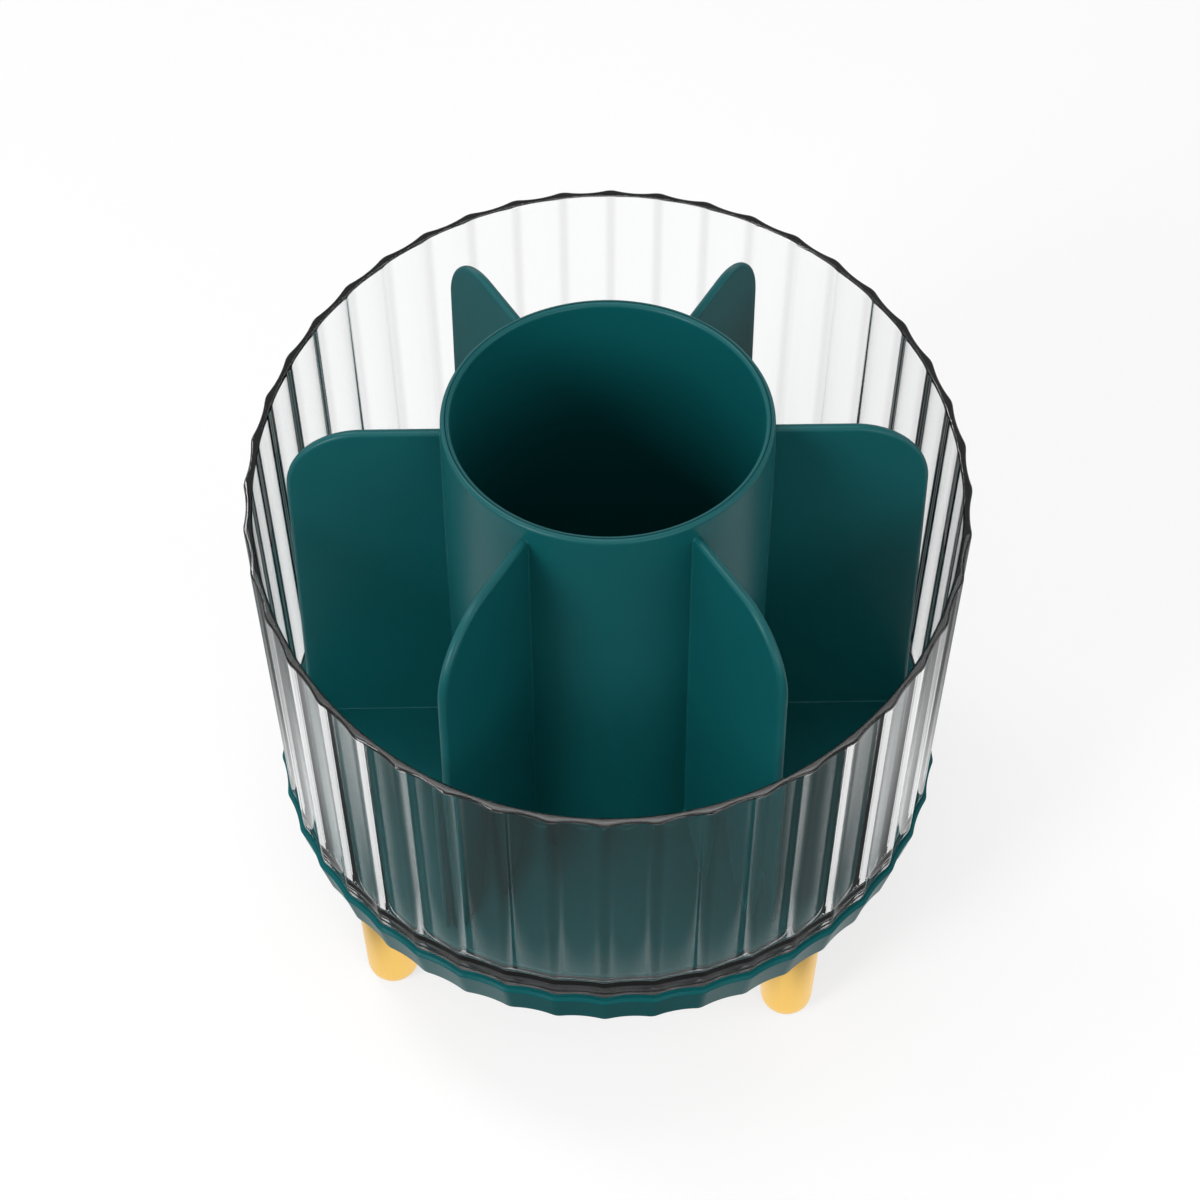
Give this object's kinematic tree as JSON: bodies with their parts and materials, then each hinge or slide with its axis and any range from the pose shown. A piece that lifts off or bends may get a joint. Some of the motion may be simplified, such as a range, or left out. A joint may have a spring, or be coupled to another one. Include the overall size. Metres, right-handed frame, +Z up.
{
  "type": "makeup brush organizer",
  "caption": "Round turning organizer for makeup brushes: a clear fluted tub with a slanted rim and a loose divider insert, turning on a ball ring over a fluted base with gold feet.",
  "frame": {"origin": "on the turning axis, at the height of the surface that the feet stand on", "axes": "+Z up along the turning axis, -Y towards the low side of the slanted rim"},
  "size_m": [0.1508, 0.1509, 0.1433],
  "materials": {
    "clear_plastic": "colourless, clear, polished",
    "green_plastic": "deep teal, satin moulded",
    "gold_plate": "satin gold plating on moulded plastic",
    "black_plastic": "black, moulded",
    "white_plastic": "natural white, slippery",
    "zinc_steel": "bright zinc plated",
    "ball_steel": "polished steel"
  },
  "bodies": {
    "base": {"base_tray": "green_plastic", "foot_front_left": "gold_plate", "foot_front_right": "gold_plate", "foot_rear_left": "gold_plate", "foot_rear_right": "gold_plate", "foot_screws": "zinc_steel"},
    "ball_ring": {"ball_cage": "white_plastic", "bearing_balls": "ball_steel"},
    "carousel": {"turntable_plate": "black_plastic", "turntable_screws": "zinc_steel", "clear_tub": "clear_plastic", "pivot_screw": "zinc_steel", "pivot_washer": "zinc_steel"},
    "insert": {"divider_insert": "green_plastic"}
  },
  "joints": [
    {"name": "carousel_spin", "type": "hinge", "parent": "base", "child": "carousel", "pos_m": [0, 0, 0.0373], "axis": [0, 0, 1], "continuous": true},
    {"name": "ball_ring_spin", "type": "hinge", "parent": "base", "child": "ball_ring", "pos_m": [0, 0, 0.03775], "axis": [0, 0, 1], "continuous": true},
    {"name": "insert_lift", "type": "slide", "parent": "carousel", "child": "insert", "axis": [0, 0, 1], "range_m": [0, 0.1]}
  ],
  "couplings": [
    {"joint": "ball_ring_spin", "follows": "carousel_spin", "ratio": 0.5}
  ]
}
